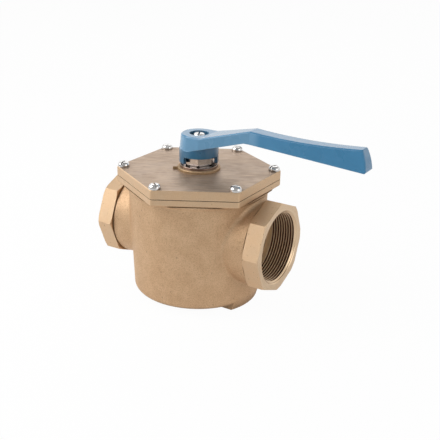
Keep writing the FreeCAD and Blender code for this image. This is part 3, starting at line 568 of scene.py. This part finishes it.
def enamel(paint):
    """Blue enamel of the lever, with a painted sheen that makes the sides of hub and arm paler."""
    material, nodes = new_material("blue_enamel")
    at = nodes.place()
    along = nodes.add("SeparateXYZ", {0: at}).outputs[0]
    facing = nodes.add("SeparateXYZ", {0: nodes.add("NewGeometry").outputs["Normal"]}).outputs[2]
    # Painted sheen: faces that look sideways are paler near the hub, fading out towards the grip.
    sideways = nodes.span(nodes.math("ABSOLUTE", facing), 0.6, 0.3)
    sheened = nodes.math("MULTIPLY", sideways, nodes.span(along, GRIP_X, ARM_X))
    clean = nodes.mix(sheened, paint.enamel, paint.arm)
    thick = nodes.mix(sheened, paint.enamel_deep, paint.arm)
    return finish_enamel(paint, material, nodes, clean, thick, edge_highlight=0.8)


def shaded_skirt_enamel(paint):
    """Enamel on the skirt and the stop legs, painted darker as shade under the arm."""
    material, nodes = new_material("shaded_skirt_enamel")
    return finish_enamel(paint, material, nodes, paint.skirt, paint.skirt, edge_highlight=0.1)


def finish_enamel(paint, material, nodes, clean, thick, edge_highlight):
    """Flow, orange peel, specks, a painted highlight along the edges and painted shade in corners, over two tones of
    enamel. edge_highlight is how much the painted highlight shows on the edges.
    """
    at = nodes.place()
    worn = nodes.group(edge_wear_and_highlight, Radius=paint.edge_radius, Amount=1.0)
    shade = nodes.group(grime_and_shade, Vector=at, Reach=0.02, Amount=1.0)
    flow = nodes.noise(at, 1.0 / paint.flow_size, 3.0)
    peel = nodes.noise(at, 1.0 / paint.peel_size, 2.0)
    specks = nodes.span(nodes.noise(at, PAINT_SPECKS, 1.0), 0.72, 0.78)
    tone = nodes.mix(nodes.span(flow, 0.65, 0.35), clean, thick)
    # Painted highlight along the edges.
    highlit = nodes.mix(nodes.math("MULTIPLY", worn["Mask"], edge_highlight), tone, paint.edge)
    specked = nodes.mix(nodes.math("MULTIPLY", specks, 0.3), highlit, thick)
    # Painted shade in corners, below the arm and close to the cover, from ambient occlusion.
    shade_weight = nodes.math("POWER", shade["Mask"], 1.8)
    base = nodes.mix(shade_weight, specked, paint.corner_shade)
    rough = nodes.span(flow, 0.3, 0.7, 0.26, 0.32)
    normal = bump(nodes, peel, PEEL_DEPTH, worn["Normal"])
    principled(nodes, base, rough, normal, Coat_Weight=0.8, Coat_Roughness=0.18)
    return material


def bright_plate(plating, name="bright_plate", roughness=0.1, clean=None):
    """Bright plated steel, slightly clouded, with painted shade and soiling in its slots and corners."""
    material, nodes = new_material(name)
    at = nodes.place()
    worn = nodes.group(edge_wear_and_highlight, Radius=0.0003, Amount=0.5)
    dirt_and_shade = nodes.group(grime_and_shade, Vector=at, Reach=0.0025, Amount=0.9)
    cloud = nodes.noise(at, PLATE_CLOUDS, 3.0)
    tone = nodes.mix(nodes.span(cloud, 0.35, 0.65, 0.0, 0.35), clean or plating.plate, plating.steel)
    # Painted shade and soiling in the slots and corners.
    base = nodes.mix(dirt_and_shade["Mask"], tone, plating.dirt_and_shade)
    rough = nodes.span(cloud, 0.3, 0.7, roughness, roughness + 0.08)
    normal = bump(nodes, cloud, FINE_DEPTH, worn["Normal"])
    principled(nodes, base, rough, normal, Metallic=1.0)
    return material


def turned_steel(plating):
    """Fine-turned stainless steel."""
    material, nodes = new_material("turned_steel")
    at = nodes.place()
    marks = nodes.group(turned_marks, Vector=at, Pitch=0.0003)
    worn = nodes.group(edge_wear_and_highlight, Radius=0.0002, Amount=0.5)
    tone = nodes.mix(nodes.span(marks["Streak"], 0.0, 1.0, 0.0, 0.5), plating.steel, plating.plate)
    rough = nodes.span(marks["Streak"], 0.0, 1.0, 0.25, 0.4)
    normal = bump(nodes, marks["Height"], FINE_DEPTH, worn["Normal"])
    principled(nodes, tone, rough, normal, Metallic=1.0)
    return material


def soft_matter(name, base_colour, dark_colour, grain, rough):
    """Rubber, gasket sheet or seat plastic: a fine even grain over two close tones."""
    material, nodes = new_material(name)
    skin = nodes.group(cast_skin, Vector=nodes.place(), Grain_Size=grain, Patch_Size=grain * 14)
    tone = nodes.mix(skin["Patch"], dark_colour, base_colour)
    base = nodes.mix(nodes.math("MULTIPLY", skin["Grain"], 0.3), tone, dark_colour)
    normal = bump(nodes, skin["Height"], grain * GRAIN_RELIEF)
    principled(nodes, base, nodes.span(skin["Grain"], 0.0, 1.0, *rough), normal)
    return material


# ---- Giving finishes to the pieces ----
def wear(names, material):
    """These CAD nodes take one material."""
    for name in names:
        mesh = frame["nodes"][name].data
        mesh.materials.clear()
        mesh.materials.append(material)


def share_faces(name, materials, choose):
    """A CAD node takes several materials: choose(centre, normal) gives the place in the list for each face."""
    mesh = frame["nodes"][name].data
    mesh.materials.clear()
    for material in materials:
        mesh.materials.append(material)
    for face in mesh.polygons:
        face.material_index = choose(face.center, face.normal)


def body_finish(centre, normal):
    """0 cast, 1 milled, 2 turned, 3 thread."""
    from_axis = math.hypot(centre.y, centre.z - PORT_Z)
    along = abs(centre.x)
    if along > CARRIER_X and from_axis < THREAD_R + THREAD_DEPTH + MOUTH_DEPTH:
        mouth = from_axis > THREAD_R + NEAR and along > PORT_X - MOUTH_DEPTH and abs(normal.x) > SIDE_NORMAL
        return 2 if mouth and normal.x * centre.x > 0 else 3
    if along > PORT_X - NEAR and abs(normal.x) > FLAT_NORMAL:
        return 2
    spanner = along > SPANNER_X and from_axis > THREAD_R + MOUTH_DEPTH
    hexagon_side = centre.z > FLANGE_Z and abs(normal.z) < SIDE_NORMAL
    return 1 if spanner or hexagon_side else 0


def cover_finish(centre, normal):
    """0 brushed top, 1 milled sides, 2 turned faces below, 3 gland ring, 4 cast boss and ear."""
    from_stem = math.hypot(centre.x, centre.y)
    if centre.z > BOSS_Z + NEAR:
        return 3
    if centre.z > COVER_TOP_Z + NEAR:
        return 4
    if centre.z < COVER_Z and from_stem < BALL_R * 2:
        return 2
    if centre.z > COVER_TOP_Z - NEAR and normal.z > FLAT_NORMAL:
        return 0
    return 1


def lever_finish(centre, normal):
    """0 enamel, 1 stop legs and the skirt up to the arm's underside, which take the painted shade."""
    from_stem = math.hypot(centre.x, centre.y)
    if from_stem > SKIRT_R + NEAR:
        return 0
    outward = (centre.x * normal.x + centre.y * normal.y) / from_stem
    skirt_side = from_stem > SKIRT_R - NEAR and outward > FLAT_NORMAL
    return 1 if skirt_side or centre.z < SKIRT_Z + NEAR else 0


class VALVE_OT_finish_body(bpy.types.Operator):
    """Cast skin on the body, milled spanner ends, turned faces and pipe threads"""

    bl_idname = "valve.finish_body"
    bl_label = "Body"

    def execute(self, context):
        brass = context.scene.valve_brass
        finishes = [cast_brass(brass), milled_brass(brass), turned_brass(brass), thread_brass(brass)]
        share_faces("body", finishes, body_finish)
        return {"FINISHED"}


class VALVE_OT_finish_cover(bpy.types.Operator):
    """Brushed top, milled sides, cast boss and polished gland ring on the cover, and the gasket below it"""

    bl_idname = "valve.finish_cover"
    bl_label = "Cover and gasket"

    def execute(self, context):
        brass = context.scene.valve_brass
        plating = context.scene.valve_plating
        sides = bpy.data.materials["milled_brass"]
        below = turned_brass(brass, "turned_boss", about_port=False)
        boss = cast_brass(brass, "cast_boss", light=brass.boss)
        share_faces("cover", [brushed_plate(brass), sides, below, ring_brass(brass), boss], cover_finish)
        sheet = soft_matter("gasket_sheet", plating.gasket, plating.gasket_dark, grain=0.0004, rough=(0.75, 0.9))
        wear(["cover_gasket"], sheet)
        return {"FINISHED"}


class VALVE_OT_finish_fasteners(bpy.types.Operator):
    """Bright plate on the cover screws, gland nut, lever screw and washers"""

    bl_idname = "valve.finish_fasteners"
    bl_label = "Screws, nut and washers"

    def execute(self, context):
        plating = context.scene.valve_plating
        wear(["cover_screws", "lever_screw"], bright_plate(plating))
        wear(["gland_nut"], bright_plate(plating, "nut_plate", roughness=0.12, clean=plating.nut))
        washers = bright_plate(plating, "zinc_plate", roughness=0.22)
        wear(["lever_washer", "lever_spring_washer"], washers)
        return {"FINISHED"}


class VALVE_OT_finish_inner_pieces(bpy.types.Operator):
    """Plated ball, bored seat carriers, turned stem, seats, packing and seals"""

    bl_idname = "valve.finish_inner_pieces"
    bl_label = "Ball, seats and stem"

    def execute(self, context):
        plating = context.scene.valve_plating
        wear(["ball"], bright_plate(plating, "ball_plate", roughness=0.06))
        wear(["seat_carrier_outlet", "seat_carrier_inlet"], lit_bored_brass(context.scene.valve_brass))
        wear(["gland_follower"], bpy.data.materials["turned_boss"])
        wear(["stem"], turned_steel(plating))
        plastic = soft_matter("seat_plastic", plating.seat, plating.seat_dark, grain=0.0008, rough=(0.35, 0.5))
        packing = [name for name in frame["nodes"] if name.startswith("packing_ring")]
        wear(["seat_ring_outlet", "seat_ring_inlet", "stem_thrust_washer"] + packing, plastic)
        rubber = soft_matter("seal_rubber", plating.seal, plating.seal_dark, grain=0.0005, rough=(0.5, 0.7))
        wear(["carrier_o_ring_outlet", "carrier_o_ring_inlet", "stem_o_ring"], rubber)
        return {"FINISHED"}


class VALVE_OT_finish_lever(bpy.types.Operator):
    """Blue enamel on the lever, with painted shade on its skirt and stop legs"""

    bl_idname = "valve.finish_lever"
    bl_label = "Lever"

    def execute(self, context):
        paint = context.scene.valve_paint
        share_faces("lever", [enamel(paint), shaded_skirt_enamel(paint)], lever_finish)
        return {"FINISHED"}


# ---- Stage ----
def room_shade(nodes, toward_back, near, far):
    """How much glossy rays see the darker room in front: 0 behind the valve, 1 well in front of it."""
    glossy = nodes.add("LightPath").outputs["Is Glossy Ray"]
    return nodes.math("MULTIPLY", nodes.span(toward_back, near, far), glossy)


def seen_mask(nodes, glossy=1.0):
    """One for camera, glossy and transmission rays, which see the plain white surroundings."""
    path = nodes.add("LightPath").outputs
    seen = nodes.math("MULTIPLY_ADD", path["Is Glossy Ray"], glossy, path["Is Camera Ray"])
    return nodes.math("ADD", seen, path["Is Transmission Ray"], clamp=True)


def make_floor(stage):
    bpy.ops.mesh.primitive_circle_add(vertices=96, radius=stage.floor_radius, fill_type="NGON")
    floor = bpy.context.object
    floor.name = "floor"
    material, nodes = new_material("floor")
    diffuse = nodes.add("BsdfDiffuse", {"Color": (*stage.floor_colour, 1.0)})
    place = nodes.add("SeparateXYZ", {0: nodes.place()}).outputs
    shown = nodes.mix(room_shade(nodes, place[1], near=-0.03, far=-0.4), WHITE, stage.front_grey)
    white = nodes.add("Emission", {"Color": shown, "Strength": 1.0})
    factor = nodes.math("MULTIPLY", seen_mask(nodes, stage.glossy_floor), stage.floor_share)
    both = nodes.add("MixShader", {0: factor, 1: diffuse.outputs[0], 2: white.outputs[0]})
    nodes.add("OutputMaterial", {"Surface": both.outputs[0]})
    floor.data.materials.append(material)


def make_surroundings(stage):
    world = bpy.data.worlds.new("surroundings")
    world.use_nodes = True
    bpy.context.scene.world = world
    nodes = Nodes(world.node_tree)
    direction = nodes.add("SeparateXYZ", {0: nodes.add("TexCoord").outputs["Generated"]}).outputs
    up = direction[2]
    overhead = nodes.span(up, 0.25, 0.85)
    shown = nodes.mix(overhead, WHITE, stage.overhead_grey)
    shown = nodes.mix(room_shade(nodes, direction[1], near=0.2, far=-0.7), shown, stage.front_grey)
    light = stage.daylight
    level = nodes.mix(seen_mask(nodes), (light, light, light), shown)
    back = nodes.add("Background", {"Color": level, "Strength": 1.0})
    nodes.add("OutputWorld", {"Surface": back.outputs[0]})


def make_lamp(name, place, size, power):
    lamp = bpy.data.lights.new(name, "AREA")
    lamp.shape = "RECTANGLE"
    lamp.size, lamp.size_y = size
    lamp.energy = power
    holder = bpy.data.objects.new(name, lamp)
    bpy.context.scene.collection.objects.link(holder)
    holder.location = place
    holder.rotation_euler = (Vector(place) - Vector(LAMP_AIM)).to_track_quat("Z", "Y").to_euler()


def make_camera(stage):
    camera = bpy.data.objects.new("camera", bpy.data.cameras.new("camera"))
    bpy.context.scene.collection.objects.link(camera)
    camera.data.lens = stage.lens
    azimuth, elevation = stage.azimuth, stage.elevation
    level = math.cos(elevation)
    back = Vector((math.sin(azimuth) * level, -math.cos(azimuth) * level, math.sin(elevation)))
    right = Vector((math.cos(azimuth), math.sin(azimuth), 0))
    up = back.cross(right)
    turn_back = Matrix((right, up, back)).transposed() @ Matrix.Rotation(stage.roll, 3, "Z")
    camera.matrix_world = Matrix.Translation(Vector(stage.aim) + back * stage.distance) @ turn_back.to_4x4()
    bpy.context.scene.camera = camera


class VALVE_OT_set_stage(bpy.types.Operator):
    """White floor and surroundings, three soft lamps and the camera"""

    bl_idname = "valve.set_stage"
    bl_label = "Stage"

    def execute(self, context):
        stage = context.scene.valve_stage
        make_floor(stage)
        make_surroundings(stage)
        make_lamp("key_lamp", KEY_PLACE, KEY_SIZE, stage.key_power)
        make_lamp("fill_lamp", FILL_PLACE, FILL_SIZE, stage.fill_power)
        make_lamp("back_lamp", BACK_PLACE, BACK_SIZE, stage.back_power)
        make_camera(stage)
        context.scene.view_settings.view_transform = "Standard"
        return {"FINISHED"}


OPERATORS = [
    VALVE_OT_set_stage,
    VALVE_OT_finish_body,
    VALVE_OT_finish_cover,
    VALVE_OT_finish_fasteners,
    VALVE_OT_finish_inner_pieces,
    VALVE_OT_finish_lever,
]
SETTINGS = {
    "valve_brass": ValveBrassSettings,
    "valve_paint": ValvePaintSettings,
    "valve_plating": ValvePlatingSettings,
    "valve_stage": ValveStageSettings,
}


class VALVE_PT_pieces(bpy.types.Panel):
    """Lists the valve's pieces and settings."""

    bl_idname = "VALVE_PT_pieces"
    bl_label = "Seacock valve"
    bl_space_type = "VIEW_3D"
    bl_region_type = "UI"
    bl_category = "Valve"

    def draw(self, context):
        for operator in OPERATORS:
            self.layout.operator(operator.bl_idname)
        for name, group in SETTINGS.items():
            box = self.layout.box()
            box.label(text=group.__doc__)
            for key in group.__annotations__:
                box.prop(getattr(context.scene, name), key)


def register():
    for name, group in SETTINGS.items():
        bpy.utils.register_class(group)
        setattr(bpy.types.Scene, name, PointerProperty(type=group))
    for item in OPERATORS + [VALVE_PT_pieces]:
        bpy.utils.register_class(item)


def unregister():
    for item in reversed(OPERATORS + [VALVE_PT_pieces]):
        bpy.utils.unregister_class(item)
    for name, group in SETTINGS.items():
        delattr(bpy.types.Scene, name)
        bpy.utils.unregister_class(group)


def main():
    register()
    for operator in OPERATORS:
        area, name = operator.bl_idname.split(".")
        getattr(getattr(bpy.ops, area), name)()


if __name__ == "__main__":
    main()
